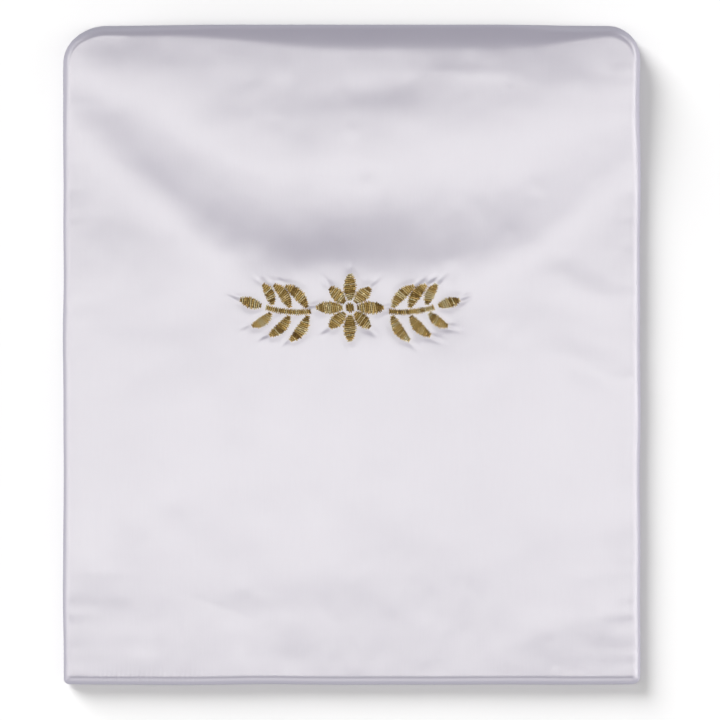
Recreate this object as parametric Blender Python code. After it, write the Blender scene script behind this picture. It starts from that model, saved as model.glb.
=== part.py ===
"""An afikoman cover: a satin pouch with a gold embroidered ornament, lying on its back.

Metres, +Z up. +Y runs from the sewn bottom edge to the open mouth, and +X to the right as the
ornament is seen from above. The origin is on the surface that the pouch lies on, under the middle
of its outline.

The pouch is two cloth panels that meet at a seam along both sides and the bottom. At the mouth each
panel ends in a turned hem, and the front panel stands proud of the back one. The ornament is a
rosette between two leafy sprigs, and each of its strokes is a raised column of satin stitch.
"""

import math
from collections import namedtuple

import bmesh
import bpy
from mathutils import Vector
from mathutils.bvhtree import BVHTree

MM = 0.001

# Driving dimensions of the pouch
WIDTH = 230.0 * MM
LENGTH = 262.6 * MM
CLOTH = 1.2 * MM
HEM = 1.8 * MM
HEM_DEPTH = 12.0 * MM
GAP = 0.3 * MM
SEAM_HEIGHT = 2.1 * MM
FACE_HEIGHT = 7.4 * MM
MOUTH_LIFT = 4.4 * MM
LIP_HEIGHT = 7.4 * MM

LEFT, RIGHT = -WIDTH / 2, WIDTH / 2
BOTTOM, TOP = -LENGTH / 2, LENGTH / 2

# The outline's corners: how far each one's curve runs along X and along Y
Corner = namedtuple("Corner", "along_x along_y")
TOP_LEFT = Corner(along_x=17.6 * MM, along_y=15.2 * MM)
TOP_RIGHT = Corner(along_x=13.2 * MM, along_y=13.2 * MM)
BOTTOM_LEFT = Corner(along_x=2.2 * MM, along_y=2.2 * MM)
BOTTOM_RIGHT = Corner(along_x=3.2 * MM, along_y=3.2 * MM)

# How far in from the outline each edge of the cloth takes to roll over
SIDE_ROLL = 5.0 * MM
BOTTOM_ROLL = 7.0 * MM
MOUTH_ROLL = 10.8 * MM
MOUTH_ROLL_AT_LEFT = 4.8 * MM
BACK_ROLL = 3.5 * MM
NOSE = 1.0 * MM

# Inside, the two panels lie flat on each other along the seam and then part
SEAM_LAND = 1.5 * MM
INNER_ROLL = 6.0 * MM

# How far from each corner of the mouth its front hem reaches its full height
LIP_RISE = 46.0 * MM

# The front panel climbs to the mouth across a line that runs level between two knees, and from each
# knee up towards a corner of the mouth
KNEE_LEFT = -37.0 * MM
KNEE_RIGHT = 62.0 * MM
KNEE_Y = 44.0 * MM
KNEE_SOFTNESS = 7.0 * MM
CLIMB_ANGLE_LEFT = math.radians(41)
CLIMB_ANGLE_RIGHT = math.radians(42)
CLIMB_WIDTH_LEFT = 21.0 * MM
CLIMB_WIDTH_RIGHT = 34.0 * MM

# The front panel's other folds and dents: the middle of each, which way it runs from +X, half its
# length and half its width, and how far it stands up (a dent is negative)
Fold = namedtuple("Fold", "x y degrees reach spread height")
FOLDS = (
    Fold(x=5 * MM, y=104 * MM, degrees=4, reach=22 * MM, spread=6 * MM, height=-0.35 * MM),
    Fold(x=-28 * MM, y=-101 * MM, degrees=1, reach=62 * MM, spread=9 * MM, height=-0.40 * MM),
    Fold(x=94 * MM, y=25 * MM, degrees=-25, reach=14 * MM, spread=6 * MM, height=0.40 * MM),
    Fold(x=93 * MM, y=-5 * MM, degrees=-30, reach=15 * MM, spread=6 * MM, height=0.45 * MM),
)

# The ornament, measured from its own middle
ORNAMENT_CENTRE = Vector((-0.7, 18.9)) * MM
STITCH_EDGE = 0.35 * MM
STITCH_CROWN = 0.60 * MM
STROKE_END = 0.8 * MM
PETALS = 8
PETAL_START = 2.7 * MM
LONG_PETAL = 10.9 * MM
SHORT_PETAL = 8.7 * MM
PETAL_WIDTH = 4.7 * MM
EYE_RADIUS = 1.7 * MM
STEM_START = Vector((15.4, -1.4)) * MM
STEM_BEND = Vector((24.5, -2.6)) * MM
STEM_END = Vector((33.6, 0.2)) * MM
STEM_WIDTH = 1.8 * MM
LEAF_ANGLE = math.radians(50)
LEAF_CLEARANCE = 1.5 * MM
TIP_LEAF_LENGTH = 9.2 * MM
TIP_LEAF_WIDTH = 3.9 * MM

# The pairs of leaves on a stem: how far along it each springs, a leaf's size, and its sideways bow
Pair = namedtuple("Pair", "along length width bow")
LEAF_PAIRS = (
    Pair(along=0.08, length=12.4 * MM, width=4.0 * MM, bow=1.2 * MM),
    Pair(along=0.47, length=11.4 * MM, width=3.9 * MM, bow=1.1 * MM),
    Pair(along=0.86, length=9.4 * MM, width=3.6 * MM, bow=0.9 * MM),
)

# Where the meshes' rows and columns lie near an edge, from the outline inwards, and their spacing
# between
SIDE_STEPS = tuple(step * MM for step in (0, 0.5, 1.5, 3.0, 5.0, 8.0))
BOTTOM_STEPS = tuple(step * MM for step in (0, 0.5, 1.5, 3.2, 5.0, 8.0))
MOUTH_STEPS = tuple(step * MM for step in (0, 0.3, 1.0, 2.5, 5.0, 8.0, 11.6, 12.4))
FRONT_PITCH = 11.0 * MM
BACK_PITCH = 40.0 * MM

SATIN = (0.80, 0.78, 0.83)
GOLD = (0.55, 0.38, 0.13)


def mix(first, second, share):
    return first + (second - first) * share


def smooth(share):
    """Goes from 0 to 1 with level ends."""
    share = min(1.0, max(0.0, share))
    return share * share * (3 - 2 * share)


def rolled(inset, reach):
    """A rounded edge: 0 at the outline and 1 from reach inwards."""
    short = 1 - min(1.0, max(0.0, inset / reach))
    return math.sqrt(1 - short * short)


# The outline
def corner_inset(corner, beyond):
    """How far a corner's curve draws a side in, at this distance past the side's straight part."""
    share = min(1.0, max(0.0, beyond / corner.along_y))
    return corner.along_x * (1 - math.sqrt(1 - share * share))


def foot_ends(y):
    """The left and right ends of the outline at this height, but for the mouth's corners."""
    left = LEFT + corner_inset(BOTTOM_LEFT, BOTTOM + BOTTOM_LEFT.along_y - y)
    right = RIGHT - corner_inset(BOTTOM_RIGHT, BOTTOM + BOTTOM_RIGHT.along_y - y)
    return left, right


def row_ends(y):
    left, right = foot_ends(y)
    left += corner_inset(TOP_LEFT, y - TOP + TOP_LEFT.along_y)
    right -= corner_inset(TOP_RIGHT, y - TOP + TOP_RIGHT.along_y)
    return left, right


def edge_place(x, y):
    """How far in from the nearest side or the mouth a point lies, and the mouth's share of that."""
    left, right = foot_ends(y)
    from_side = min(x - left, right - x)
    from_top = TOP - y
    corner = TOP_LEFT if x < 0 else TOP_RIGHT
    if from_side < corner.along_x and from_top < corner.along_y:
        across = 1 - from_side / corner.along_x
        along = 1 - from_top / corner.along_y
        out = math.hypot(across, along)
        mouth = (along / out) ** 2
        return max(0.0, 1 - out) * mix(corner.along_x, corner.along_y, mouth), smooth(mouth)
    if from_top < from_side:
        return from_top, 1.0
    return max(0.0, from_side), 0.0


# The front panel
def climb(x, y):
    """0 on the lower part of the pouch and 1 on the part that stands proud at the mouth."""
    above = y - KNEE_Y
    left = (x - KNEE_LEFT) * math.sin(CLIMB_ANGLE_LEFT) + above * math.cos(CLIMB_ANGLE_LEFT)
    right = (KNEE_RIGHT - x) * math.sin(CLIMB_ANGLE_RIGHT) + above * math.cos(CLIMB_ANGLE_RIGHT)
    nearness = sum(math.exp(-past / KNEE_SOFTNESS) for past in (left, above, right))
    past = -KNEE_SOFTNESS * math.log(nearness)
    width = mix(CLIMB_WIDTH_LEFT, CLIMB_WIDTH_RIGHT, smooth((x + 20 * MM) / (100 * MM)))
    return smooth(past / width + 0.5)


def fold_height(fold, x, y):
    angle = math.radians(fold.degrees)
    along = (x - fold.x) * math.cos(angle) + (y - fold.y) * math.sin(angle)
    across = (y - fold.y) * math.cos(angle) - (x - fold.x) * math.sin(angle)
    return fold.height * math.exp(-((along / fold.reach) ** 2) - (across / fold.spread) ** 2)


def face_height(x, y):
    """The front panel's outer face, before its edges roll over."""
    folds = sum(fold_height(fold, x, y) for fold in FOLDS)
    return FACE_HEIGHT + MOUTH_LIFT * climb(x, y) + folds


def lip_height(x):
    """The tip of the front hem, low at the corners of the mouth and high between them."""
    from_corner = min(x - LEFT - TOP_LEFT.along_x, RIGHT - TOP_RIGHT.along_x - x)
    return mix(SEAM_HEIGHT + GAP / 2, LIP_HEIGHT, smooth(from_corner / LIP_RISE))


def mouth_roll(x):
    """The roll at the mouth is wide, but narrow towards the left corner."""
    return mix(MOUTH_ROLL, MOUTH_ROLL_AT_LEFT, smooth((-x - 20 * MM) / (80 * MM)))


def front_outer(x, y):
    inset, mouth = edge_place(x, y)
    seam = SEAM_HEIGHT + GAP / 2
    edge = mix(seam, lip_height(x), mouth)
    reach = mix(SIDE_ROLL, mouth_roll(x), mouth)
    share = rolled(inset, reach) * rolled(y - BOTTOM, BOTTOM_ROLL)
    return mix(edge, face_height(x, y), share)


def front_inner(x, y):
    inset, mouth = edge_place(x, y)
    seam = SEAM_HEIGHT + GAP / 2
    share = rolled(inset - SEAM_LAND, INNER_ROLL) * rolled(y - BOTTOM - SEAM_LAND, INNER_ROLL)
    at_seam = mix(seam, face_height(x, y) - CLOTH, share)
    wall = HEM if inset < HEM_DEPTH else CLOTH
    at_mouth = front_outer(x, y) - wall * rolled(inset, NOSE)
    return mix(at_seam, at_mouth, mouth)


# The back panel
def back_outer(x, y):
    """The underside, which is flat up to its rolled edges."""
    inset, mouth = edge_place(x, y)
    edge = mix(SEAM_HEIGHT - GAP / 2, HEM / 2, mouth)
    share = rolled(inset, mix(BACK_ROLL, NOSE, mouth)) * rolled(y - BOTTOM, BACK_ROLL)
    return mix(edge, 0.0, share)


def back_inner(x, y):
    inset, mouth = edge_place(x, y)
    seam = SEAM_HEIGHT - GAP / 2
    share = rolled(inset - SEAM_LAND, INNER_ROLL) * rolled(y - BOTTOM - SEAM_LAND, INNER_ROLL)
    at_seam = mix(seam, CLOTH, share)
    wall = HEM if inset < HEM_DEPTH else CLOTH
    at_mouth = mix(HEM / 2, wall, rolled(inset, NOSE))
    return mix(at_seam, at_mouth, mouth)


# Materials and objects
def clear_scene():
    for obj in list(bpy.data.objects):
        bpy.data.objects.remove(obj, do_unlink=True)


def material(name, colour, roughness, metallic):
    made = bpy.data.materials.new(name)
    made.use_nodes = True
    shader = made.node_tree.nodes["Principled BSDF"]
    shader.inputs["Base Color"].default_value = (*colour, 1.0)
    shader.inputs["Roughness"].default_value = roughness
    shader.inputs["Metallic"].default_value = metallic
    return made


def add_object(name, shape, finish, parent):
    """Turns a bmesh into a named object."""
    mesh = bpy.data.meshes.new(name)
    shape.to_mesh(mesh)
    shape.free()
    mesh.materials.append(finish)
    mesh.shade_smooth()
    mesh.set_sharp_from_angle(angle=math.radians(50))
    obj = bpy.data.objects.new(name, mesh)
    bpy.context.scene.collection.objects.link(obj)
    obj.parent = parent
    return obj


# The cloth panels
def spaced(first_steps, last_steps, span, pitch):
    """Distances across a span: the given steps at its two ends, and about a pitch apart between."""
    start, end = first_steps[-1], span - last_steps[-1]
    count = round((end - start) / pitch)
    between = [mix(start, end, step / count) for step in range(1, count)]
    return [*first_steps, *between, *(span - step for step in reversed(last_steps))]


def place_in_row(step, left, right):
    """Where a column crosses a row: columns near an end keep their distance from it."""
    border = SIDE_STEPS[-1]
    if step < border:
        return left + step
    if step > WIDTH - border:
        return right - (WIDTH - step)
    return mix(left + border, right - border, (step - border) / (WIDTH - 2 * border))


def cloth_panel(name, upper, lower, pitch, finish, parent):
    """A closed wall of cloth between two height functions that meet along the outline."""
    shape = bmesh.new()
    heights = [BOTTOM + step for step in spaced(BOTTOM_STEPS, MOUTH_STEPS, LENGTH, pitch)]
    columns = spaced(SIDE_STEPS, SIDE_STEPS, WIDTH, pitch)
    last_row, last_column = len(heights) - 1, len(columns) - 1
    upper_rows, lower_rows = [], []
    for row, y in enumerate(heights):
        left, right = row_ends(y)
        upper_rows.append([])
        lower_rows.append([])
        for column, step in enumerate(columns):
            x = place_in_row(step, left, right)
            on_outline = row in (0, last_row) or column in (0, last_column)
            over = shape.verts.new((x, y, upper(x, y)))
            under = over if on_outline else shape.verts.new((x, y, lower(x, y)))
            upper_rows[-1].append(over)
            lower_rows[-1].append(under)
    for row in range(last_row):
        for column in range(last_column):
            for rows, order in ((upper_rows, 1), (lower_rows, -1)):
                corners = (rows[row][column], rows[row][column + 1],
                           rows[row + 1][column + 1], rows[row + 1][column])
                shape.faces.new(corners[::order])
    return add_object(name, shape, finish, parent)


def cloth_surface(panel):
    """Finds the height of a panel's upper face under a point."""
    vertices = [vertex.co for vertex in panel.data.vertices]
    tree = BVHTree.FromPolygons(vertices, [face.vertices for face in panel.data.polygons])

    def height(place):
        hit, _, _, _ = tree.ray_cast(Vector((place.x, place.y, 1.0)), Vector((0, 0, -1)))
        return hit.z

    return height


# The embroidered strokes
CROWN_PLACES = (-1.0, -0.6, 0.0, 0.6, 1.0)


def stroke_section(centre, across, half_width, surface):
    """The points round one section of a stroke: two beneath it, and a low dome over them."""
    left, right = centre - across * half_width, centre + across * half_width
    points = [(*left, surface(left) + GAP), (*right, surface(right) + GAP)]
    crown = STITCH_CROWN * min(1.0, half_width / (STEM_WIDTH / 2))
    for place in reversed(CROWN_PLACES):
        point = centre + across * half_width * place
        base = mix(points[0][2], points[1][2], (place + 1) / 2)
        points.append((*point, base + STITCH_EDGE + crown * (1 - place * place)))
    return points


def stitched_stroke(name, route, half_width, steps, surface, finish, parent):
    """A closed, domed ribbon along a route on the cloth."""
    shape = bmesh.new()
    sections = []
    for step in range(steps + 1):
        share = step / steps
        ahead = route(min(1.0, share + 0.01)) - route(max(0.0, share - 0.01))
        along = ahead.normalized()
        across = Vector((along.y, -along.x))
        points = stroke_section(route(share), across, half_width(share), surface)
        sections.append([shape.verts.new(point) for point in points])
    around = len(sections[0])
    for first, second in zip(sections, sections[1:]):
        for index in range(around):
            following = (index + 1) % around
            shape.faces.new((first[index], second[index], second[following], first[following]))
    shape.faces.new(sections[0])
    shape.faces.new(reversed(sections[-1]))
    bmesh.ops.recalc_face_normals(shape, faces=shape.faces)
    return add_object(name, shape, finish, parent)


def almond(width):
    """The half width of a petal or leaf, which swells from one narrow end to the other."""

    def half_width(share):
        return mix(STROKE_END, width, math.sin(math.pi * share) ** 0.8) / 2

    return half_width


def bowed_line(start, angle, length, bow):
    """A route that sets out at an angle and bows sideways."""
    along = Vector((math.cos(angle), math.sin(angle)))
    aside = Vector((-along.y, along.x))

    def route(share):
        return start + along * length * share + aside * bow * math.sin(math.pi * share)

    return route


def stem_line(side):
    """The route of a sprig's stem: a curve with one bend."""

    def route(share):
        first = STEM_START.lerp(STEM_BEND, share)
        point = first.lerp(STEM_BEND.lerp(STEM_END, share), share)
        return ORNAMENT_CENTRE + Vector((side * point.x, point.y))

    return route


def rosette(surface, finish, parent):
    for index in range(PETALS):
        angle = math.tau * index / PETALS
        length = SHORT_PETAL if index % 2 else LONG_PETAL
        start = ORNAMENT_CENTRE + Vector((math.cos(angle), math.sin(angle))) * PETAL_START
        route = bowed_line(start, angle, length, 0.0)
        name = f"rosette_petal_{index + 1}"
        stitched_stroke(name, route, almond(PETAL_WIDTH), 7, surface, finish, parent)
    start = ORNAMENT_CENTRE - Vector((EYE_RADIUS, 0))
    eye = bowed_line(start, 0.0, 2 * EYE_RADIUS, 0.0)

    def half_chord(share):
        return max(STROKE_END / 2, 2 * EYE_RADIUS * math.sqrt(share * (1 - share)))

    stitched_stroke("rosette_eye", eye, half_chord, 8, surface, finish, parent)


def sprig(name, side, surface, finish, parent):
    """A stem with pairs of leaves and a leaf at its tip, to the right (1) or left (-1)."""
    stem = stem_line(side)
    stitched_stroke(f"{name}_stem", stem, lambda share: STEM_WIDTH / 2, 10, surface, finish, parent)
    for index, pair in enumerate(LEAF_PAIRS):
        spring = stem(pair.along)
        ahead = stem(pair.along + 0.05) - spring
        heading = math.atan2(ahead.y, ahead.x)
        for turn in (1, -1):
            outward = heading + turn * math.pi / 2
            start = spring + Vector((math.cos(outward), math.sin(outward))) * LEAF_CLEARANCE
            route = bowed_line(start, heading + turn * LEAF_ANGLE, pair.length, turn * pair.bow)
            number = 2 * index + (1 if turn * side > 0 else 2)
            leaf = f"{name}_leaf_{number}"
            stitched_stroke(leaf, route, almond(pair.width), 7, surface, finish, parent)
    ahead = stem(1.0) - stem(0.95)
    start = stem(1.0) + ahead.normalized() * LEAF_CLEARANCE
    route = bowed_line(start, math.atan2(ahead.y, ahead.x), TIP_LEAF_LENGTH, 0.0)
    tip = f"{name}_tip_leaf"
    stitched_stroke(tip, route, almond(TIP_LEAF_WIDTH), 7, surface, finish, parent)


def build():
    clear_scene()
    pouch = bpy.data.objects.new("pouch", None)
    bpy.context.scene.collection.objects.link(pouch)
    satin = material("satin", SATIN, roughness=0.38, metallic=0.0)
    gold_thread = material("gold_thread", GOLD, roughness=0.35, metallic=0.8)
    cloth_panel("back_panel", back_inner, back_outer, BACK_PITCH, satin, pouch)
    front = cloth_panel("front_panel", front_outer, front_inner, FRONT_PITCH, satin, pouch)
    surface = cloth_surface(front)
    rosette(surface, gold_thread, pouch)
    sprig("left", -1, surface, gold_thread, pouch)
    sprig("right", 1, surface, gold_thread, pouch)


build()
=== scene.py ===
"""The looks of an afikoman cover: a satin pouch with a gold embroidered ornament, lying on its back.

Metres, +Z up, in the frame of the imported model. +Y runs from the sewn bottom edge to the open mouth,
and +X to the right as the ornament is seen from above.

The two cloth panels are closed walls whose heights are worked out from the same rolls, climb and folds
as the solids, with the creases, ripples and puckers added. The ornament's strokes are laid thread by
thread over a padding.
"""

import math
import random
from collections import namedtuple

import bmesh
import bpy
import numpy as np
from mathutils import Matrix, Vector


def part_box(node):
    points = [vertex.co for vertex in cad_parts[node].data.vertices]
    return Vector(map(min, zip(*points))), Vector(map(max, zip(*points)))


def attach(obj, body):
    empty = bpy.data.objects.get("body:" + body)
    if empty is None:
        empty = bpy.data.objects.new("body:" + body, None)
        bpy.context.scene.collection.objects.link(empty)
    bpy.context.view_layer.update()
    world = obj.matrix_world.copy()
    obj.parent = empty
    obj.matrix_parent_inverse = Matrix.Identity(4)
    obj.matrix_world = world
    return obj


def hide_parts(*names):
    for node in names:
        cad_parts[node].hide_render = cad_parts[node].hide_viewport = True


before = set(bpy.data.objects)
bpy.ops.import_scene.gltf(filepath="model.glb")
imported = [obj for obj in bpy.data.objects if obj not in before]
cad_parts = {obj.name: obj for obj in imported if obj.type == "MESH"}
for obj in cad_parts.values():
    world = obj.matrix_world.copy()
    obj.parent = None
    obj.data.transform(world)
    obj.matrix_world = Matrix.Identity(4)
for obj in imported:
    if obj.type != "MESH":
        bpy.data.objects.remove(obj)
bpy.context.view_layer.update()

MM = 0.001

# The pouch, whose outline comes from the frame
PANEL_LOW, PANEL_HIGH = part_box("front_panel")
LEFT, RIGHT = PANEL_LOW.x, PANEL_HIGH.x
BOTTOM, TOP = PANEL_LOW.y, PANEL_HIGH.y
WIDTH, LENGTH = RIGHT - LEFT, TOP - BOTTOM
CLOTH = 1.2 * MM
HEM = 1.8 * MM
HEM_DEPTH = 12.0 * MM
SEAM_HEIGHT = 2.1 * MM
SEAM_GAP = 0.08 * MM
FACE_HEIGHT = 7.4 * MM
MOUTH_LIFT = 7.8 * MM
LIP_HEIGHT = 9.4 * MM

# The outline's corners: how far each one's curve runs along X and along Y
Corner = namedtuple("Corner", "along_x along_y")
TOP_LEFT = Corner(along_x=17.6 * MM, along_y=15.2 * MM)
TOP_RIGHT = Corner(along_x=13.2 * MM, along_y=13.2 * MM)
BOTTOM_LEFT = Corner(along_x=2.2 * MM, along_y=2.2 * MM)
BOTTOM_RIGHT = Corner(along_x=3.2 * MM, along_y=3.2 * MM)

# How far in from the outline each edge of the cloth takes to roll over
SIDE_ROLL = 3.6 * MM
BOTTOM_ROLL = 3.8 * MM
MOUTH_ROLL = 10.8 * MM
MOUTH_ROLL_AT_ENDS = 4.8 * MM
BACK_ROLL = 3.5 * MM
NOSE = 1.0 * MM
SEAM_LAND = 1.5 * MM
INNER_ROLL = 6.0 * MM
LIP_RISE = 46.0 * MM

# The climb to the part that stands proud at the mouth
KNEE_LEFT = -40.0 * MM
KNEE_RIGHT = 62.0 * MM
KNEE_Y = 41.5 * MM
KNEE_SOFTNESS = 7.0 * MM
CLIMB_ANGLE_LEFT = math.radians(41)
CLIMB_ANGLE_RIGHT = math.radians(42)
CLIMB_BELOW_LEFT, CLIMB_BELOW_RIGHT = 12.0 * MM, 11.0 * MM
CLIMB_ABOVE_LEFT, CLIMB_ABOVE_RIGHT = 22.0 * MM, 36.0 * MM

# The folds of the front panel: the middle of each, which way it runs from +X, half its length and
# half its width, and how far it stands up (a dent is negative). The first four are in the solids too.
Fold = namedtuple("Fold", "x y degrees reach spread height")
FOLDS = (
    Fold(x=5, y=104, degrees=4, reach=22, spread=6, height=-0.18),
    Fold(x=-28, y=-101, degrees=1, reach=62, spread=9, height=-0.20),
    Fold(x=94, y=25, degrees=-25, reach=14, spread=6, height=0.26),
    Fold(x=93, y=-5, degrees=-30, reach=15, spread=6, height=0.28),
    Fold(x=-104, y=128, degrees=0, reach=26, spread=14, height=-1.3),
    Fold(x=100, y=129, degrees=0, reach=46, spread=18, height=-1.2),
    Fold(x=-53.5, y=-99.8, degrees=-21, reach=11, spread=0.9, height=-0.07),
    Fold(x=-76.4, y=-44.8, degrees=-51, reach=6.4, spread=1.0, height=-0.07),
    Fold(x=46, y=112, degrees=-2, reach=15, spread=2.4, height=0.09),
    Fold(x=110.6, y=-12.7, degrees=80, reach=3.2, spread=1.8, height=-0.22),
    Fold(x=110, y=92, degrees=84, reach=9, spread=2.6, height=0.20),
    Fold(x=109.5, y=-42, degrees=96, reach=8, spread=2.6, height=0.18),
    Fold(x=-107, y=-54, degrees=90, reach=40, spread=3.0, height=0.22),
    Fold(x=41.2, y=-24.6, degrees=20, reach=2.6, spread=2.0, height=-0.05),
    Fold(x=4.1, y=-29.8, degrees=-30, reach=2.8, spread=2.0, height=-0.05),
    Fold(x=79, y=-113.5, degrees=10, reach=3.5, spread=2.2, height=-0.06),
    Fold(x=81, y=-126.5, degrees=85, reach=2.5, spread=1.2, height=0.10),
)

# The stitch marks that ripple the left part of the bottom edge
RIPPLE_FROM, RIPPLE_TO = -106.0 * MM, -53.0 * MM
RIPPLE_PERIOD = 1.83 * MM
RIPPLE_REACH = 4.2 * MM
RIPPLE_HEIGHT = 0.10 * MM

# Slack in the cloth: shallow swellings at seeded places, and small gathers along the seams
Swellings = namedtuple("Swellings", "count radii height seed")
SWELLINGS = (
    Swellings(count=260, radii=(6.0 * MM, 20.0 * MM), height=0.13 * MM, seed=11),
    Swellings(count=1500, radii=(2.6 * MM, 5.0 * MM), height=0.028 * MM, seed=12),
)
GATHER_REACH = 9.0 * MM
GATHER_HEIGHT = 0.045 * MM
WAVER = 0.16 * MM
WAVER_REACH = 18.0 * MM

# The ornament, measured from its own middle
ORNAMENT_CENTRE = Vector((-0.7, 18.9)) * MM
STROKE_END = 0.8 * MM
PETALS = 8
PETAL_START = 2.7 * MM
LONG_PETAL = 10.9 * MM
SHORT_PETAL = 8.7 * MM
PETAL_WIDTH = 4.7 * MM
EYE_RADIUS = 1.7 * MM
STEM_START = Vector((15.4, -1.4)) * MM
STEM_BEND = Vector((24.5, -2.6)) * MM
STEM_END = Vector((33.6, 0.2)) * MM
STEM_WIDTH = 1.8 * MM
LEAF_ANGLE = math.radians(50)
LEAF_CLEARANCE = 1.5 * MM
TIP_LEAF_LENGTH = 9.2 * MM
TIP_LEAF_WIDTH = 3.9 * MM

# The pairs of leaves on a stem: how far along it each springs, a leaf's size, and its sideways bow
Pair = namedtuple("Pair", "along length width bow")
LEAF_PAIRS = (
    Pair(along=0.08, length=12.4 * MM, width=4.0 * MM, bow=1.2 * MM),
    Pair(along=0.47, length=11.4 * MM, width=3.9 * MM, bow=1.1 * MM),
    Pair(along=0.86, length=9.4 * MM, width=3.6 * MM, bow=0.9 * MM),
)

# The gold thread and how it is laid across a stroke
THREAD_PITCH = 0.80 * MM
PLY_RADIUS = 0.165 * MM
PLY_OFFSET = 0.150 * MM
PLY_SIDES = 5
PLY_STEP = 0.19 * MM
TWIST_LENGTH = 1.9 * MM
THREAD_CROWN = 1.30 * MM
THREAD_DIVE = 0.25 * MM
THREAD_STRAY = 0.32 * MM
THREAD_SLANT = math.radians(9)
THREAD_SWING = math.radians(2.2)
PADDING_DROP = 0.22 * MM
PADDING_STEPS = 16
PADDING_PLACES = (-0.97, -0.9, -0.75, -0.5, -0.2, 0.2, 0.5, 0.75, 0.9, 0.97)
TWISTS_PER_MM = 1.6

# The cloth around the ornament is drawn in at the strokes' edges and puckers past their tips
PUCKER_REACH = 2.6 * MM
PUCKER_SPREAD = 0.8 * MM
PUCKER_HEIGHT = 0.16 * MM
DRAW_IN = 0.16 * MM
DRAW_IN_REACH = 1.6 * MM

# The thread of the seam, laid across the groove between the panels
SEAM_STITCH = 1.83 * MM
SEAM_THREAD_RADIUS = 0.12 * MM
SEAM_SIDES = 6

# Where the meshes' rows and columns lie near an edge, from the outline inwards
EDGE_STEPS = tuple(
    step * MM for step in (0, 0.12, 0.3, 0.55, 0.85, 1.2, 1.6, 2.1, 2.7, 3.4, 4.2, 5, 6, 7, 8)
)
MOUTH_STEPS = (*EDGE_STEPS, 9.2 * MM, 10.4 * MM, 11.6 * MM, 12.4 * MM, 13.6 * MM)
FRONT_PITCH = 1.3 * MM
BACK_PITCH = 2.4 * MM
INNER_SKIP = 4

# The photograph's frame and the studio
FRAME_WIDTH = 287.1 * MM
FRAME_CENTRE = Vector((3.31, -1.9)) * MM
OUTLINE_HEIGHT = 3.0 * MM
LENS = 200.0
SENSOR = 36.0
FLOOR_REACH = 20.0
WORLD_COLOUR = (0.93, 0.94, 1.0)
WORLD_ABOVE, WORLD_BELOW = 0.22, 0.46
FLOOR_LIGHT = 4.6
FLOOR_LIGHT_SPREAD = math.radians(34)
FLOOR_LIGHT_FROM = (-0.65, 0.76, 0.50)

# The softboxes: place, aim, width, height, radiance and colour
WARM_WHITE = (1.0, 0.98, 0.94)
Softbox = namedtuple("Softbox", "name place aim width height radiance colour")
SOFTBOXES = (
    Softbox("overhead", (0.0, -0.06, 1.40), (0.0, -0.06, 0.0), 1.10, 0.42, 2.20, WARM_WHITE),
    Softbox("left_high", (-1.00, -0.06, 1.00), (0.0, -0.06, 0.0), 0.50, 1.00, 1.9, WARM_WHITE),
    Softbox("right_high", (1.00, -0.06, 1.00), (0.0, -0.06, 0.0), 0.50, 1.00, 1.9, WARM_WHITE),
    Softbox("left_low", (-1.30, 0.45, 0.18), (0.0, 0.45, 0.0), 2.9, 0.34, 2.2, WARM_WHITE),
    Softbox("right_low", (1.30, 0.45, 0.18), (0.0, 0.45, 0.0), 2.9, 0.34, 3.0, WARM_WHITE),
    Softbox("front_fill", (0.0, -1.30, 0.50), (0.0, 0.0, 0.0), 1.8, 1.0, 0.65, WARM_WHITE),
)

# Colours
SATIN_DEEP = (0.665, 0.627, 0.775)
SATIN_PALE = (0.695, 0.657, 0.800)
GOLD_DEEP = (0.26, 0.14, 0.030)
GOLD = (0.96, 0.69, 0.24)
GOLD_PALE = (1.0, 0.92, 0.60)
# Nearly black: painted shade for the gaps between the gold threads, on the padding beneath them
PADDING_PAINTED_SHADE = (0.05, 0.024, 0.006)


def mix(first, second, share):
    return first + (second - first) * share


def smooth(share):
    """Goes from 0 to 1 with level ends."""
    share = np.clip(share, 0.0, 1.0)
    return share * share * (3 - 2 * share)


def rolled(inset, reach):
    """A rounded edge: 0 at the outline and 1 from reach inwards."""
    short = 1 - np.clip(inset / reach, 0.0, 1.0)
    return np.sqrt(1 - short * short)


# The outline
def corner_inset(corner, beyond):
    """How far a corner's curve draws a side in, at this distance past the side's straight part."""
    share = np.clip(beyond / corner.along_y, 0.0, 1.0)
    return corner.along_x * (1 - np.sqrt(1 - share * share))


def foot_ends(y):
    """The left and right ends of the outline at this height, but for the mouth's corners."""
    left = LEFT + corner_inset(BOTTOM_LEFT, BOTTOM + BOTTOM_LEFT.along_y - y)
    right = RIGHT - corner_inset(BOTTOM_RIGHT, BOTTOM + BOTTOM_RIGHT.along_y - y)
    return left, right


def row_ends(y):
    left, right = foot_ends(y)
    left += corner_inset(TOP_LEFT, y - TOP + TOP_LEFT.along_y)
    right -= corner_inset(TOP_RIGHT, y - TOP + TOP_RIGHT.along_y)
    return left, right


def edge_place(x, y):
    """How far in from the nearest side or the mouth points lie, and the mouth's share of that."""
    left, right = foot_ends(y)
    from_side = np.minimum(x - left, right - x)
    from_top = TOP - y
    along_x = np.where(x < 0, TOP_LEFT.along_x, TOP_RIGHT.along_x)
    along_y = np.where(x < 0, TOP_LEFT.along_y, TOP_RIGHT.along_y)
    across = np.clip(1 - from_side / along_x, 0.0, 2.0)
    along = np.clip(1 - from_top / along_y, 0.0, 2.0)
    out = np.maximum(np.hypot(across, along), 1e-6)
    share = (along / out) ** 2
    in_corner = (from_side < along_x) & (from_top < along_y)
    near_mouth = from_top < from_side
    inset = np.where(near_mouth, from_top, np.maximum(0.0, from_side))
    inset = np.where(in_corner, np.maximum(0.0, 1 - out) * mix(along_x, along_y, share), inset)
    return inset, np.where(in_corner, smooth(share), near_mouth.astype(float))


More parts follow.
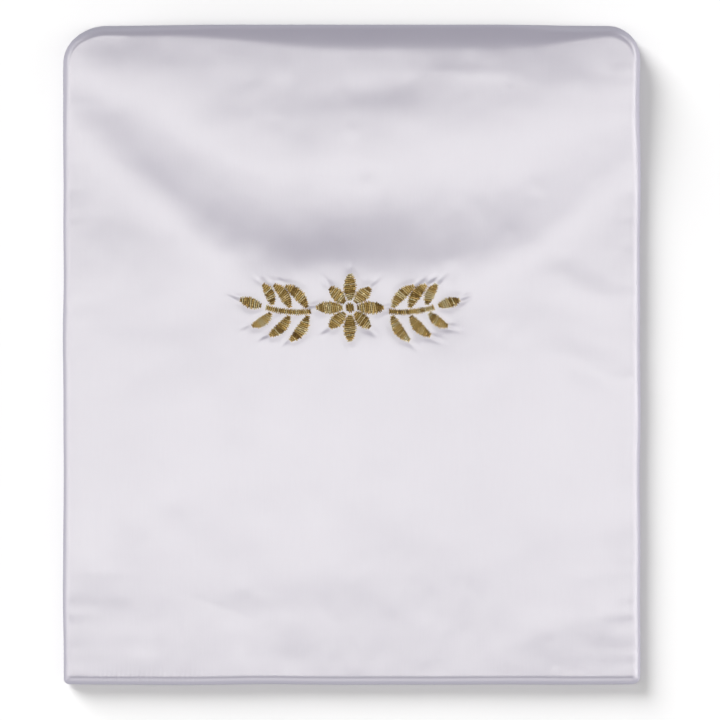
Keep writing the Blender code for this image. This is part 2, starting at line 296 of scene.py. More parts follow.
# The front panel
def climb(x, y):
    """0 on the lower part of the pouch and 1 on the part that stands proud at the mouth."""
    above = y - KNEE_Y
    left = (x - KNEE_LEFT) * math.sin(CLIMB_ANGLE_LEFT) + above * math.cos(CLIMB_ANGLE_LEFT)
    right = (KNEE_RIGHT - x) * math.sin(CLIMB_ANGLE_RIGHT) + above * math.cos(CLIMB_ANGLE_RIGHT)
    nearness = sum(np.exp(-past / KNEE_SOFTNESS) for past in (left, above, right))
    past = -KNEE_SOFTNESS * np.log(nearness)
    to_right = smooth((x + 60 * MM) / (110 * MM))
    below = mix(CLIMB_BELOW_LEFT, CLIMB_BELOW_RIGHT, to_right)
    over = mix(CLIMB_ABOVE_LEFT, CLIMB_ABOVE_RIGHT, to_right)
    reach = np.where(past < 0, below, over)
    return (below + reach * np.tanh(past / reach)) / (below + over)


def fold_height(fold, x, y):
    """The height that a fold, whose row is in millimetres, adds at points in metres."""
    angle = math.radians(fold.degrees)
    east, north = x - fold.x * MM, y - fold.y * MM
    along = (east * math.cos(angle) + north * math.sin(angle)) / (fold.reach * MM)
    across = (north * math.cos(angle) - east * math.sin(angle)) / (fold.spread * MM)
    return fold.height * MM * np.exp(-along * along - across * across)


def swellings():
    """The places, radii and heights of the cloth's shallow swellings."""
    rows = []
    for group in SWELLINGS:
        draw = random.Random(group.seed)
        for _ in range(group.count):
            place = (draw.uniform(LEFT, RIGHT), draw.uniform(BOTTOM, TOP))
            radius = draw.uniform(*group.radii)
            height = group.height * min(max(draw.gauss(0.0, 1.0), -1.5), 1.5)
            rows.append((*place, radius, height))
    return rows


def waving(along, seed, period):
    """An uneven wave along an edge, from -1 to 1, that is the same each time for one seed."""
    draw = random.Random(seed)
    total = 0.0
    for _ in range(5):
        length = period * draw.uniform(0.6, 1.7)
        total = total + np.sin(along * math.tau / length + draw.uniform(0, math.tau))
    return total / 3


SWELLING_COLUMNS = np.array(swellings()).T[:, :, np.newaxis]


def swelling_heights(x, y):
    """What all the swellings together add at points, worked out some points at a time."""
    x, y = np.broadcast_arrays(np.asarray(x, float), np.asarray(y, float))
    east, north, radius, height = SWELLING_COLUMNS
    total = np.zeros(x.size)
    for start in range(0, x.size, 2000):
        part = slice(start, start + 2000)
        far = ((x.ravel()[part] - east) ** 2 + (y.ravel()[part] - north) ** 2) / radius ** 2
        total[part] = (height * np.exp(-far)).sum(axis=0)
    return total.reshape(x.shape)


def slack(x, y):
    """What the soft cloth adds to the face: swellings, gathers at the seams and stitch ripples."""
    from_side = np.minimum(x - LEFT, RIGHT - x)
    from_bottom = y - BOTTOM
    beside = np.exp(-from_side / GATHER_REACH) * waving(y, 3, 9.0 * MM)
    below = np.exp(-from_bottom / GATHER_REACH) * waving(x, 4, 8.0 * MM)
    total = swelling_heights(x, y) + GATHER_HEIGHT * (beside + below)
    stretch = smooth((x - RIPPLE_FROM) / (6 * MM)) * smooth((RIPPLE_TO - x) / (10 * MM))
    ripple = np.sin(x * math.tau / RIPPLE_PERIOD) * np.exp(-((from_bottom / RIPPLE_REACH) ** 2))
    return total + RIPPLE_HEIGHT * stretch * ripple


def face_height(x, y):
    """The front panel's outer face, before its edges roll over."""
    folds = sum(fold_height(fold, x, y) for fold in FOLDS)
    return FACE_HEIGHT + MOUTH_LIFT * climb(x, y) + folds


def lip_height(x):
    """The tip of the front hem, low at the corners of the mouth and high between them."""
    from_corner = np.minimum(x - LEFT - TOP_LEFT.along_x, RIGHT - TOP_RIGHT.along_x - x)
    return mix(SEAM_HEIGHT + SEAM_GAP / 2, LIP_HEIGHT, smooth(from_corner / LIP_RISE))


def mouth_roll(x):
    """The roll at the mouth is wide right of its middle and narrow towards the corners."""
    to_end = np.maximum(smooth(-x / (75 * MM)), smooth((x - 60 * MM) / (45 * MM)))
    return mix(MOUTH_ROLL, MOUTH_ROLL_AT_ENDS, to_end)


def front_edge_share(x, y):
    """How far up from the seam or the lip to the face the front panel's edge has come."""
    inset, mouth = edge_place(x, y)
    reach = mix(SIDE_ROLL, mouth_roll(x), mouth)
    return rolled(inset, reach) * rolled(y - BOTTOM, BOTTOM_ROLL)


def front_outer(x, y):
    _, mouth = edge_place(x, y)
    edge = mix(SEAM_HEIGHT + SEAM_GAP / 2, lip_height(x), mouth)
    face = face_height(x, y) + slack(x, y) + drawn_in(x, y)
    return mix(edge, face, front_edge_share(x, y))


def front_inner(x, y):
    inset, mouth = edge_place(x, y)
    seam = SEAM_HEIGHT + SEAM_GAP / 2
    share = rolled(inset - SEAM_LAND, INNER_ROLL) * rolled(y - BOTTOM - SEAM_LAND, INNER_ROLL)
    at_seam = mix(seam, face_height(x, y) - CLOTH, share)
    wall = np.where(inset < HEM_DEPTH, HEM, CLOTH)
    at_mouth = front_outer(x, y) - wall * rolled(inset, NOSE)
    return mix(at_seam, at_mouth, mouth)


# The back panel
def back_outer(x, y):
    """The underside, which is flat up to its rolled edges."""
    inset, mouth = edge_place(x, y)
    edge = mix(SEAM_HEIGHT - SEAM_GAP / 2, HEM / 2, mouth)
    share = rolled(inset, mix(BACK_ROLL, NOSE, mouth)) * rolled(y - BOTTOM, BACK_ROLL)
    return mix(edge, 0.0, share)


def back_inner(x, y):
    inset, mouth = edge_place(x, y)
    seam = SEAM_HEIGHT - SEAM_GAP / 2
    share = rolled(inset - SEAM_LAND, INNER_ROLL) * rolled(y - BOTTOM - SEAM_LAND, INNER_ROLL)
    at_seam = mix(seam, CLOTH, share)
    wall = np.where(inset < HEM_DEPTH, HEM, CLOTH)
    at_mouth = mix(HEM / 2, wall, rolled(inset, NOSE))
    return mix(at_seam, at_mouth, mouth)


# The ornament's strokes: each has a name, a route on the cloth and a half width along it
Stroke = namedtuple("Stroke", "name route half_width")


def almond(width):
    """The half width of a petal or leaf, which swells from one narrow end to the other."""

    def half_width(share):
        return mix(STROKE_END, width, max(0.0, math.sin(math.pi * share)) ** 0.8) / 2

    return half_width


def bowed_line(start, angle, length, bow):
    """A route that sets out at an angle and bows sideways."""
    along = Vector((math.cos(angle), math.sin(angle)))
    aside = Vector((-along.y, along.x))

    def route(share):
        return start + along * length * share + aside * bow * math.sin(math.pi * share)

    return route


def stem_line(side):
    """The route of a sprig's stem: a curve with one bend."""

    def route(share):
        first = STEM_START.lerp(STEM_BEND, share)
        point = first.lerp(STEM_BEND.lerp(STEM_END, share), share)
        return ORNAMENT_CENTRE + Vector((side * point.x, point.y))

    return route


def rosette():
    strokes = []
    for index in range(PETALS):
        angle = math.tau * index / PETALS
        length = SHORT_PETAL if index % 2 else LONG_PETAL
        start = ORNAMENT_CENTRE + Vector((math.cos(angle), math.sin(angle))) * PETAL_START
        route = bowed_line(start, angle, length, 0.0)
        strokes.append(Stroke(f"rosette_petal_{index + 1}", route, almond(PETAL_WIDTH)))
    eye = bowed_line(ORNAMENT_CENTRE - Vector((EYE_RADIUS, 0)), 0.0, 2 * EYE_RADIUS, 0.0)

    def half_chord(share):
        return max(STROKE_END / 2, 2 * EYE_RADIUS * math.sqrt(max(0.0, share * (1 - share))))

    strokes.append(Stroke("rosette_eye", eye, half_chord))
    return strokes


def sprig(name, side):
    """A stem with pairs of leaves and a leaf at its tip, to the right (1) or left (-1)."""
    stem = stem_line(side)
    strokes = [Stroke(f"{name}_stem", stem, lambda share: STEM_WIDTH / 2)]
    for index, pair in enumerate(LEAF_PAIRS):
        spring = stem(pair.along)
        ahead = stem(pair.along + 0.05) - spring
        heading = math.atan2(ahead.y, ahead.x)
        for turn in (1, -1):
            outward = heading + turn * math.pi / 2
            start = spring + Vector((math.cos(outward), math.sin(outward))) * LEAF_CLEARANCE
            route = bowed_line(start, heading + turn * LEAF_ANGLE, pair.length, turn * pair.bow)
            number = 2 * index + (1 if turn * side > 0 else 2)
            strokes.append(Stroke(f"{name}_leaf_{number}", route, almond(pair.width)))
    ahead = stem(1.0) - stem(0.95)
    start = stem(1.0) + ahead.normalized() * LEAF_CLEARANCE
    route = bowed_line(start, math.atan2(ahead.y, ahead.x), TIP_LEAF_LENGTH, 0.0)
    strokes.append(Stroke(f"{name}_tip_leaf", route, almond(TIP_LEAF_WIDTH)))
    return strokes


STROKES = [*rosette(), *sprig("left", -1), *sprig("right", 1)]


def tip_puckers():
    """A ridge and a dent in the cloth just past each tip that points away from the ornament."""
    rows = []
    draw = random.Random(5)
    for stroke in STROKES:
        if stroke.name.endswith(("stem", "eye")):
            continue
        tip = stroke.route(1.0)
        ahead = (tip - stroke.route(0.9)).normalized()
        aside = Vector((-ahead.y, ahead.x))
        degrees = math.degrees(math.atan2(ahead.y, ahead.x))
        for turn, height in ((0.5, 1.0), (-0.9, -0.8)):
            place = tip + ahead * PUCKER_REACH * draw.uniform(0.5, 1.0) + aside * PUCKER_SPREAD * turn
            rows.append(Fold(x=place.x / MM, y=place.y / MM, degrees=degrees + draw.uniform(-14, 14),
                             reach=PUCKER_REACH / MM * draw.uniform(0.7, 1.3), spread=PUCKER_SPREAD / MM,
                             height=PUCKER_HEIGHT / MM * height * draw.uniform(0.5, 1.3)))
    return rows


PUCKERS = tip_puckers()


def drawn_in(x, y):
    """The cloth sinks a little at the strokes, which pull on it, and puckers past their tips."""
    sunk = 0.0
    for stroke in STROKES:
        for share in (0.1, 0.3, 0.5, 0.7, 0.9):
            point = stroke.route(share)
            reach = stroke.half_width(share) + DRAW_IN_REACH
            far = ((x - point.x) ** 2 + (y - point.y) ** 2) / reach ** 2
            sunk = np.maximum(sunk, np.exp(-far * far))
    return sum(fold_height(pucker, x, y) for pucker in PUCKERS) - DRAW_IN * sunk


# Meshes and objects
def add_object(name, shape, *finishes):
    """Turns a bmesh into a smooth object that rides on the part's body."""
    mesh = bpy.data.meshes.new(name)
    shape.to_mesh(mesh)
    shape.free()
    for finish in finishes:
        mesh.materials.append(finish)
    mesh.shade_smooth()
    mesh.set_sharp_from_angle(angle=math.radians(55))
    obj = bpy.data.objects.new(name, mesh)
    bpy.context.scene.collection.objects.link(obj)
    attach(obj, "root")
    return obj


def spaced(first_steps, last_steps, span, pitch):
    """Distances across a span: the given steps at its two ends, and about a pitch apart between."""
    start, end = first_steps[-1], span - last_steps[-1]
    count = round((end - start) / pitch)
    between = [mix(start, end, step / count) for step in range(1, count)]
    return [*first_steps, *between, *(span - step for step in reversed(last_steps))]


def place_in_row(step, left, right):
    """Where a column crosses a row: columns near an end keep their distance from it."""
    border = EDGE_STEPS[-1]
    if step < border:
        return left + step
    if step > WIDTH - border:
        return right - (WIDTH - step)
    return mix(left + border, right - border, (step - border) / (WIDTH - 2 * border))


def kept_indices(places, skip, hem_places):
    """Which rows or columns the coarser face keeps: every so many, the last, and the hem's step."""
    last = len(places) - 1
    kept = {*range(0, last, skip), last}
    for place in hem_places:
        kept.add(min(range(len(places)), key=lambda index: abs(places[index] - place)))
    return sorted(kept)


def around_cell(low, high, left, right):
    """The grid places round a cell, counter-clockwise from its lower left corner."""
    return [
        *((low, column) for column in range(left, right)),
        *((row, right) for row in range(low, high)),
        *((high, column) for column in range(right, left, -1)),
        *((row, left) for row in range(high, low, -1)),
    ]


def cloth_shape(pitch, skip):
    """A flat bmesh of two faces of cloth joined along the outline, the lower one coarser. Its layer
    holds 1 for the upper face's points, -1 for the lower face's and 0 along the outline."""
    shape = bmesh.new()
    side = shape.verts.layers.float.new("side")
    heights = [BOTTOM + step for step in spaced(EDGE_STEPS, MOUTH_STEPS, LENGTH, pitch)]
    columns = spaced(EDGE_STEPS, EDGE_STEPS, WIDTH, pitch)
    last_row, last_column = len(heights) - 1, len(columns) - 1
    hem = (TOP - HEM_DEPTH - 0.4 * MM, TOP - HEM_DEPTH + 0.4 * MM)
    kept_rows = kept_indices(heights, skip, hem)
    kept_columns = kept_indices(columns, skip, ())
    upper, lower = {}, {}
    for row, y in enumerate(heights):
        left, right = row_ends(y)
        for column, step in enumerate(columns):
            place = (place_in_row(step, left, right), y, 0.0)
            upper[row, column] = shape.verts.new(place)
            if row in (0, last_row) or column in (0, last_column):
                lower[row, column] = upper[row, column]
                continue
            upper[row, column][side] = 1.0
            if row in kept_rows and column in kept_columns:
                lower[row, column] = shape.verts.new(place)
                lower[row, column][side] = -1.0
    for row in range(last_row):
        for column in range(last_column):
            corners = around_cell(row, row + 1, column, column + 1)
            shape.faces.new([upper[corner] for corner in corners])
    for low, high in zip(kept_rows, kept_rows[1:]):
        for left, right in zip(kept_columns, kept_columns[1:]):
            corners = around_cell(low, high, left, right)
            shape.faces.new([lower[corner] for corner in reversed(corners) if corner in lower])
    return shape, side


def refine(shape, side, wanted):
    """Splits into four each face of the upper side whose middle is wanted."""
    edges = set()
    for face in shape.faces:
        if all(vertex[side] > 0 for vertex in face.verts) and wanted(face.calc_center_median()):
            edges.update(face.edges)
    bmesh.ops.subdivide_edges(shape, edges=list(edges), cuts=1, use_grid_fill=True)


def waver(x, y):
    """A sewn edge is never quite straight: how far the cloth's sides and bottom stray outwards."""
    from_left, from_right, from_bottom = x - LEFT, RIGHT - x, y - BOTTOM
    east = np.exp(-from_right / WAVER_REACH) * waving(y, 21, 60 * MM)
    west = np.exp(-from_left / WAVER_REACH) * waving(y, 22, 60 * MM)
    south = np.exp(-from_bottom / WAVER_REACH) * waving(x, 23, 60 * MM)
    return WAVER * (east - west), -WAVER * south


def raise_cloth(shape, side, upper, lower):
    """Gives every point its height and lets the edges stray."""
    shape.verts.ensure_lookup_table()
    flat = np.array([vertex.co[:2] for vertex in shape.verts])
    sides = np.array([vertex[side] for vertex in shape.verts])
    x, y = flat[:, 0], flat[:, 1]
    heights = np.where(sides >= 0, upper(x, y), lower(x, y))
    stray_x, stray_y = waver(x, y)
    for vertex, *place in zip(shape.verts, x + stray_x, y + stray_y, heights):
        vertex.co = place


def map_flat(shape):
    """A UV map that lies along X and Y, which gives the satin the direction of its threads."""
    layer = shape.loops.layers.uv.new("cloth")
    for face in shape.faces:
        for corner in face.loops:
            corner[layer].uv = ((corner.vert.co.x - LEFT) / WIDTH, (corner.vert.co.y - BOTTOM) / WIDTH)


def near_ornament(point):
    return abs(point.x - ORNAMENT_CENTRE.x) < 49 * MM and abs(point.y - ORNAMENT_CENTRE.y) < 19 * MM


def near_crease(point):
    crease = FOLDS[4]
    return math.hypot(point.x - crease.x * MM, point.y - crease.y * MM) < 15 * MM


def near_ripples(point):
    return point.y < BOTTOM + 9 * MM and RIPPLE_FROM < point.x < RIPPLE_TO


def front_panel(finish):
    shape, side = cloth_shape(FRONT_PITCH, INNER_SKIP)
    refine(shape, side, lambda point: point.y < BOTTOM + 12 * MM)
    refine(shape, side, near_ornament)
    refine(shape, side, near_crease)
    refine(shape, side, near_ripples)
    raise_cloth(shape, side, front_outer, front_inner)
    map_flat(shape)
    cloth = add_object("front_cloth", shape, finish)
    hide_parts("front_panel")
    return cloth


def back_panel(finish):
    shape, side = cloth_shape(BACK_PITCH, 1)
    raise_cloth(shape, side, back_inner, back_outer)
    map_flat(shape)
    cloth = add_object("back_cloth", shape, finish)
    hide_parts("back_panel")
    return cloth


# Threads
class ThreadShape:
    """A bmesh that threads are added to, with a tone for each thread and a UV map along and round it."""

    def __init__(self):
        self.shape = bmesh.new()
        self.tone = self.shape.verts.layers.float.new("tone")
        self.map = self.shape.loops.layers.uv.new("thread")

    def point(self, place, tone):
        vertex = self.shape.verts.new(place)
        vertex[self.tone] = tone
        return vertex

    def tube(self, centres, aside, half_width, half_depth, sides, tone):
        """A closed flattened tube along points, whose sections widen along one sideways vector."""
        last = len(centres) - 1
        rings, travelled = [], []
        for index, centre in enumerate(centres):
            ahead = (centres[min(last, index + 1)] - centres[max(0, index - 1)]).normalized()
            up = aside.cross(ahead).normalized()
            angles = [math.tau * step / sides for step in range(sides)]
            offsets = [aside * half_width * math.cos(angle) + up * half_depth * math.sin(angle)
                       for angle in angles]
            rings.append([self.point(centre + offset, tone) for offset in offsets])
            run = (centre - centres[index - 1]).length if index else 0.0
            travelled.append(run + (travelled[-1] if index else 0.0))
        self.shape.faces.new(rings[0])
        self.shape.faces.new(reversed(rings[-1]))
        for index in range(last):
            self.band(rings[index], rings[index + 1], travelled[index] / MM, travelled[index + 1] / MM)

    def band(self, first, second, start, end):
        """The faces between two rings, mapped in millimetres along and in turns round."""
        sides = len(first)
        for step in range(sides):
            following = (step + 1) % sides
            corners = (first[step], second[step], second[following], first[following])
            face = self.shape.faces.new(corners)
            turn, next_turn = step / sides, (step + 1) / sides
            places = ((start, turn), (end, turn), (end, next_turn), (start, next_turn))
            for corner, place in zip(face.loops, places):
                corner[self.map].uv = place

    def finish(self):
        bmesh.ops.recalc_face_normals(self.shape, faces=self.shape.faces)
        return self.shape


def crown(place, taper):
    """How high a thread's middle stands over the cloth, from one edge of its stroke (-1) to the other."""
    return THREAD_CROWN * taper * (1 - abs(place) ** 2.6) ** 0.55 - THREAD_DIVE


def surface_heights(points):
    flat = np.array([(point.x, point.y) for point in points])
    return front_outer(flat[:, 0], flat[:, 1])


def stroke_frame(stroke, share):
    """A stroke's middle, its direction and its half width at a share of its length."""
    ahead = stroke.route(min(1.0, share + 0.01)) - stroke.route(max(0.0, share - 0.01))
    return stroke.route(share), ahead.normalized(), stroke.half_width(share)


def stroke_length(stroke):
    points = [stroke.route(step / 20) for step in range(21)]
    return sum((second - first).length for first, second in zip(points, points[1:]))


def stroke_taper(half_width):
    """Narrow stretches of a stroke are lower."""
    return min(1.0, max(0.5, half_width / (1.5 * MM)))


def lay_padding(threads, stroke):
    """The domed padding under a stroke's threads."""
    rows = []
    for step in range(PADDING_STEPS + 1):
        share = mix(0.03, 0.97, step / PADDING_STEPS)
        middle, ahead, half_width = stroke_frame(stroke, share)
        across = Vector((ahead.y, -ahead.x))
        flat = [middle + across * half_width * place for place in PADDING_PLACES]
        bases = surface_heights(flat)
        taper = stroke_taper(half_width)
        points = [(*point, base + crown(place, taper) - PADDING_DROP)
                  for place, point, base in zip(PADDING_PLACES, flat, bases)]
        below = min(bases) - THREAD_DIVE - 2 * PADDING_DROP
        points += [(*flat[-1], below), (*flat[0], below)]
        rows.append([threads.point(point, 0.5) for point in points])
    first_face = len(threads.shape.faces)
    threads.shape.faces.new(rows[0])
    threads.shape.faces.new(reversed(rows[-1]))
    for first, second in zip(rows, rows[1:]):
        threads.band(first, second, 0.0, 1.0)
    threads.shape.faces.ensure_lookup_table()
    for face in threads.shape.faces[first_face:]:
        face.material_index = 1


def thread_line(middle, direction, ends, taper):
    """The points that a thread's middle follows across a stroke, over the padding."""
    steps = max(8, round(sum(ends) / PLY_STEP))
    places = [-math.cos(math.pi * step / steps) for step in range(steps + 1)]
    flat = [middle + direction * mix(-ends[0], ends[1], (place + 1) / 2) for place in places]
    return [Vector((*point, base + crown(place, taper)))
            for place, point, base in zip(places, flat, surface_heights(flat))]


def lay_thread(threads, line, aside, phase, tone):
    """A thread of two plies twisted round each other along a line."""
    travelled, run = [0.0], 0.0
    for first, second in zip(line, line[1:]):
        run += (second - first).length
        travelled.append(run)
    last = len(line) - 1
    for ply in (0, 1):
        centres = []
        for index, place in enumerate(line):
            ahead = (line[min(last, index + 1)] - line[max(0, index - 1)]).normalized()
            up = aside.cross(ahead).normalized()
            angle = phase + math.pi * ply + math.tau * travelled[index] / TWIST_LENGTH
            centres.append(place + (aside * math.cos(angle) + up * math.sin(angle)) * PLY_OFFSET)
        threads.tube(centres, aside, PLY_RADIUS, PLY_RADIUS, PLY_SIDES, tone)


def lay_threads(threads, stroke, draw):
    """Threads of satin stitch side by side across a stroke, each diving into the cloth at its ends."""
    count = max(3, round(stroke_length(stroke) / THREAD_PITCH))
    for number in range(count):
        middle, ahead, half_width = stroke_frame(stroke, (number + 0.5) / count)
        swing = THREAD_SWING if number % 2 else -THREAD_SWING
        slant = THREAD_SLANT + swing * draw.uniform(0.5, 1.5)
        across = Vector((ahead.y, -ahead.x))
        direction = across * math.cos(slant) + ahead * math.sin(slant)
        ends = [half_width * (1 + draw.uniform(-0.06, 0.08)) + draw.uniform(0, THREAD_STRAY) for _ in "ab"]
        line = thread_line(middle, direction, ends, stroke_taper(half_width) * draw.uniform(0.88, 1.12))
        aside = Vector((ahead.x, ahead.y, 0.0))
        lay_thread(threads, line, aside, draw.uniform(0, math.tau), draw.random())


def embroidered_stroke(stroke, draw, thread, padding):
    threads = ThreadShape()
    lay_padding(threads, stroke)
    lay_threads(threads, stroke, draw)
    obj = add_object(f"{stroke.name}_threads", threads.finish(), thread, padding)
    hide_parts(stroke.name)
    return obj


# The seam's thread
Run = namedtuple("Run", "start end inwards")


def seam_runs():
    """The straight stretches of the seam: two sides and the bottom, each with its way inwards."""
    low, high = BOTTOM + 5 * MM, TOP - 18 * MM
    return (
        Run(Vector((LEFT, low)), Vector((LEFT, high)), Vector((1.0, 0.0))),
        Run(Vector((RIGHT, low)), Vector((RIGHT, high)), Vector((-1.0, 0.0))),
        Run(Vector((LEFT + 5 * MM, BOTTOM)), Vector((RIGHT - 5 * MM, BOTTOM)), Vector((0.0, 1.0))),
    )


# A stitch's points: how far in it lies, the face that it lies on, and how far that is sunk or proud
SEAM_PATH = (
    (0.45, back_outer, 0.15),
    (0.20, back_outer, -0.05),
    (0.02, back_outer, -0.09),
    (0.02, front_outer, -0.09),
    (0.10, front_outer, -0.05),
    (0.30, front_outer, 0.15),
)


def seam_stitches(finish):
    """Stitches over the groove, each from the back panel's edge to the front panel's."""
    threads = ThreadShape()
    draw = random.Random(8)
    for run in seam_runs():
        span = run.end - run.start
        along = span.normalized()
        aside = Vector((along.x, along.y, 0.0))
        shares = np.linspace(0.0, 1.0, round(span.length / SEAM_STITCH) + 1)
        paths = []
        for inset, face, sunk in SEAM_PATH:
            x = run.start.x + span.x * shares + run.inwards.x * inset * MM
            y = run.start.y + span.y * shares + run.inwards.y * inset * MM
            stray_x, stray_y = waver(x, y)
            shift = run.inwards * sunk * MM
            paths.append(zip(x + stray_x + shift.x, y + stray_y + shift.y, face(x, y)))
        for centres in zip(*paths):
            points = [Vector(centre) for centre in centres]
            threads.tube(points, aside, SEAM_THREAD_RADIUS, SEAM_THREAD_RADIUS, SEAM_SIDES, draw.random())
    obj = add_object("seam_stitches", threads.finish(), finish)
    return obj


# Materials
class Nodes:
    """A material's nodes, made one at a time and wired by name."""

    def __init__(self, name):
        self.material = bpy.data.materials.new(name)
        self.material.use_nodes = True
        self.tree = self.material.node_tree
        self.shader = self.tree.nodes["Principled BSDF"]

    def add(self, kind, settings=None, **inputs):
        """A node with its settings, and with each named input set to a value or wired to a socket."""
        node = self.tree.nodes.new(kind)
        for key, value in (settings or {}).items():
            setattr(node, key, value)
        for key, value in inputs.items():
            self.feed(node.inputs[key.replace("_", " ")], value)
        return node

    def feed(self, socket, value):
        if isinstance(value, bpy.types.NodeSocket):
            self.tree.links.new(value, socket)
        else:
            socket.default_value = value

    def shade(self, **inputs):
        for key, value in inputs.items():
            self.feed(self.shader.inputs[key.replace("_", " ")], value)

    def stretched_noise(self, coordinates, scale, detail):
        """Noise whose features measure one over the scale along each axis, in metres."""
        placed = self.add("ShaderNodeMapping", Vector=coordinates, Scale=scale)
        return self.add("ShaderNodeTexNoise", Vector=placed.outputs["Vector"], Scale=1.0, Detail=detail)

    def bump(self, height, distance, normal=None):
        node = self.add("ShaderNodeBump", Height=height, Distance=distance, Strength=1.0)
        if normal is not None:
            self.feed(node.inputs["Normal"], normal)
        return node.outputs["Normal"]

    def ranged(self, value, low, high):
        node = self.add("ShaderNodeMapRange", Value=value, To_Min=low, To_Max=high)
        return node.outputs["Result"]

    def ramp(self, value, *stops):
        """A colour ramp through (place, colour) stops."""
        node = self.add("ShaderNodeValToRGB", Fac=value)
        for place, colour in stops[1:-1]:
            node.color_ramp.elements.new(place)
        for element, (place, colour) in zip(node.color_ramp.elements, stops):
            element.position = place
            element.color = (*colour, 1.0)
        return node.outputs["Color"]


def satin():
    """White satin with a lilac cast: long warp floats along Y, faint slubs, and a broad soft sheen."""
    nodes = Nodes("satin_cloth")
    coordinates = nodes.add("ShaderNodeTexCoord").outputs["Object"]
    slubs = nodes.stretched_noise(coordinates, (1500.0, 90.0, 1500.0), 2.0)
    clouds = nodes.stretched_noise(coordinates, (45.0, 32.0, 45.0), 3.0)
    crinkle = nodes.stretched_noise(coordinates, (210.0, 150.0, 210.0), 4.0)
    turned = nodes.add("ShaderNodeMapping", Vector=coordinates, Rotation=(0.0, 0.0, math.pi / 2),
                       Scale=(1000.0, 1000.0, 1000.0))
    floats = nodes.add("ShaderNodeTexBrick", Vector=turned.outputs["Vector"], Scale=1.0, Brick_Width=1.1,
                       Row_Height=0.17, Mortar_Size=0.02, Mortar_Smooth=1.0)
    shade = nodes.add("ShaderNodeMath", {"operation": "ADD"})
    nodes.feed(shade.inputs[0], nodes.ranged(slubs.outputs["Fac"], 0.0, 0.5))
    nodes.feed(shade.inputs[1], nodes.ranged(clouds.outputs["Fac"], 0.0, 0.5))
    colour = nodes.ramp(shade.outputs["Value"], (0.25, SATIN_DEEP), (0.75, SATIN_PALE))
    normal = nodes.bump(floats.outputs["Fac"], -0.006 * MM)
    normal = nodes.bump(slubs.outputs["Fac"], 0.018 * MM, normal)
    normal = nodes.bump(crinkle.outputs["Fac"], 0.030 * MM, normal)
    tangent = nodes.add("ShaderNodeTangent", {"direction_type": "UV_MAP", "uv_map": "cloth"})
    roughness = nodes.ranged(clouds.outputs["Fac"], 0.35, 0.40)
    nodes.shade(Base_Color=colour, Roughness=roughness, Normal=normal, IOR=2.5, Specular_IOR_Level=1.0,
                Anisotropic=0.5, Tangent=tangent.outputs["Tangent"], Sheen_Weight=0.06, Sheen_Roughness=0.4)
    return nodes.material


def twist(nodes):
    """The ridges of a thread's twist, slanting round it."""
    places = nodes.add("ShaderNodeUVMap", {"uv_map": "thread"}).outputs["UV"]
    turned = nodes.add("ShaderNodeMapping", Vector=places, Scale=(TWISTS_PER_MM, 1.0, 1.0))
    wave = nodes.add("ShaderNodeTexWave", {"wave_type": "BANDS", "bands_direction": "DIAGONAL"},
                     Vector=turned.outputs["Vector"], Scale=math.tau / 10, Distortion=0.6)
    return wave.outputs["Fac"]


def gold_thread():
    """Metallic thread in several tones of old gold, with its twist and a little tarnish."""
    nodes = Nodes("gold_thread_strands")
    tone = nodes.add("ShaderNodeAttribute", {"attribute_name": "tone"}).outputs["Fac"]
    coordinates = nodes.add("ShaderNodeTexCoord").outputs["Object"]
    tarnish = nodes.stretched_noise(coordinates, (900.0, 900.0, 900.0), 3.0).outputs["Fac"]
    shade = nodes.add("ShaderNodeMath", {"operation": "MULTIPLY_ADD"})
    nodes.feed(shade.inputs[0], tone)
    nodes.feed(shade.inputs[1], 0.55)
    nodes.feed(shade.inputs[2], nodes.ranged(tarnish, 0.0, 0.45))
    colour = nodes.ramp(shade.outputs["Value"], (0.2, GOLD_DEEP), (0.5, GOLD), (0.8, GOLD_PALE))
    nodes.shade(Base_Color=colour, Metallic=0.55, Roughness=nodes.ranged(tarnish, 0.16, 0.34),
                Normal=nodes.bump(twist(nodes), 0.03 * MM))
    return nodes.material


def padding_painted_shade():
    """The threads laid underneath, coloured nearly black as painted shade in the gaps between the upper
    ones.
    """
    nodes = Nodes("gold_thread_padding")
    coordinates = nodes.add("ShaderNodeTexCoord").outputs["Object"]
    lint = nodes.stretched_noise(coordinates, (2500.0, 2500.0, 2500.0), 2.0).outputs["Fac"]
    # The dark end of this ramp is painted shade between the threads; the noise only varies it at random
    colour = nodes.ramp(lint, (0.4, PADDING_PAINTED_SHADE), (0.9, GOLD_DEEP))
    nodes.shade(Base_Color=colour, Metallic=0.6, Roughness=0.6, Normal=nodes.bump(lint, 0.05 * MM))
    return nodes.material


def seam_thread():
    """White spun thread."""
    nodes = Nodes("seam_thread")
    tone = nodes.add("ShaderNodeAttribute", {"attribute_name": "tone"}).outputs["Fac"]
    colour = nodes.ramp(tone, (0.0, SATIN_DEEP), (1.0, SATIN_PALE))
    nodes.shade(Base_Color=colour, Roughness=0.6, Sheen_Weight=0.2,
                Normal=nodes.bump(twist(nodes), 0.02 * MM))
    return nodes.material


def table_top():
    """The pale floor, with the faintest unevenness."""
    nodes = Nodes("table_top")
    coordinates = nodes.add("ShaderNodeTexCoord").outputs["Object"]
    clouds = nodes.stretched_noise(coordinates, (6.0, 6.0, 6.0), 2.0).outputs["Fac"]
    colour = nodes.ramp(clouds, (0.3, (0.77, 0.77, 0.775)), (0.7, (0.79, 0.79, 0.79)))
    nodes.shade(Base_Color=colour, Roughness=0.9, Specular_IOR_Level=0.0)
    return nodes.material


# The studio
def floor():
    mesh = bpy.data.meshes.new("floor")
    reach = FLOOR_REACH
    mesh.from_pydata([(-reach, -reach, 0), (reach, -reach, 0), (reach, reach, 0), (-reach, reach, 0)],
                     [], [(0, 1, 2, 3)])
    mesh.materials.append(table_top())
    obj = bpy.data.objects.new("floor", mesh)
    obj.visible_diffuse = False
    obj.visible_glossy = False
    obj.visible_shadow = False
    bpy.context.scene.collection.objects.link(obj)
    return obj


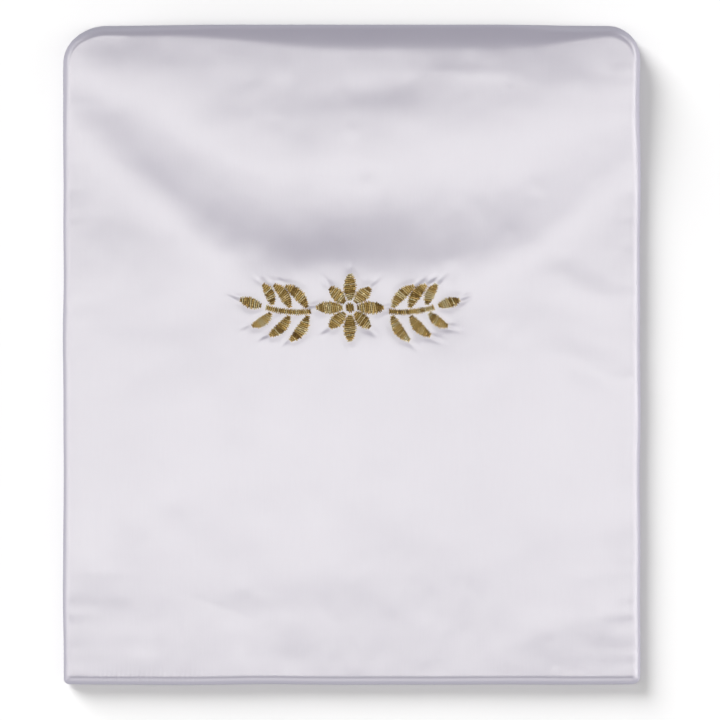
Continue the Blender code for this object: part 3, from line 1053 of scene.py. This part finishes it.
def softbox(name, place, aim, width, height, radiance, colour):
    """A rectangular light of even radiance that faces a point. The camera doesn't see it."""
    light = bpy.data.lights.new(name, "AREA")
    light.shape = "RECTANGLE"
    light.size, light.size_y = width, height
    light.energy = radiance * width * height * math.pi
    light.color = colour
    obj = bpy.data.objects.new(name, light)
    obj.location = place
    obj.rotation_euler = (Vector(aim) - Vector(place)).to_track_quat("-Z", "Y").to_euler()
    obj.visible_camera = False
    bpy.context.scene.collection.objects.link(obj)
    return obj


def floor_light(ground):
    """Light from the upper left that falls on the floor alone, and so casts the pouch's shadow there."""
    light = bpy.data.lights.new("floor_light", "SUN")
    light.energy = FLOOR_LIGHT
    light.angle = FLOOR_LIGHT_SPREAD
    obj = bpy.data.objects.new("floor_light", light)
    obj.rotation_euler = (-Vector(FLOOR_LIGHT_FROM)).to_track_quat("-Z", "Y").to_euler()
    bpy.context.scene.collection.objects.link(obj)
    lit = bpy.data.collections.new("floor_alone")
    lit.objects.link(ground)
    obj.light_linking.receiver_collection = lit


def surroundings():
    """A dim, faintly blue studio around the lights, brighter below where the pale floor spreads."""
    world = bpy.data.worlds.new("studio")
    world.use_nodes = True
    tree = world.node_tree
    parts = tree.nodes.new("ShaderNodeSeparateXYZ")
    tree.links.new(tree.nodes.new("ShaderNodeTexCoord").outputs["Generated"], parts.inputs["Vector"])
    level = tree.nodes.new("ShaderNodeMapRange")
    steps = {"From Min": -0.08, "From Max": 0.08, "To Min": WORLD_BELOW, "To Max": WORLD_ABOVE}
    for name, value in steps.items():
        level.inputs[name].default_value = value
    tree.links.new(parts.outputs["Z"], level.inputs["Value"])
    background = tree.nodes["Background"]
    background.inputs["Color"].default_value = (*WORLD_COLOUR, 1.0)
    tree.links.new(level.outputs["Result"], background.inputs["Strength"])
    bpy.context.scene.world = world


def camera():
    """Looks straight down at the middle of the photograph's frame."""
    data = bpy.data.cameras.new("camera")
    data.lens = LENS
    data.sensor_width = SENSOR
    data.clip_start, data.clip_end = 0.01, 100.0
    obj = bpy.data.objects.new("camera", data)
    distance = FRAME_WIDTH * LENS / SENSOR
    obj.location = (*FRAME_CENTRE, OUTLINE_HEIGHT + distance)
    bpy.context.scene.collection.objects.link(obj)
    bpy.context.scene.camera = obj


def studio():
    floor_light(floor())
    for box in SOFTBOXES:
        softbox(*box)
    surroundings()
    camera()
    bpy.context.scene.view_settings.view_transform = "Standard"


def dress():
    cloth = satin()
    back_panel(cloth)
    front_panel(cloth)
    seam_stitches(seam_thread())
    thread, padding = gold_thread(), padding_painted_shade()
    draw = random.Random(17)
    for stroke in STROKES:
        embroidered_stroke(stroke, draw, thread, padding)


studio()
dress()
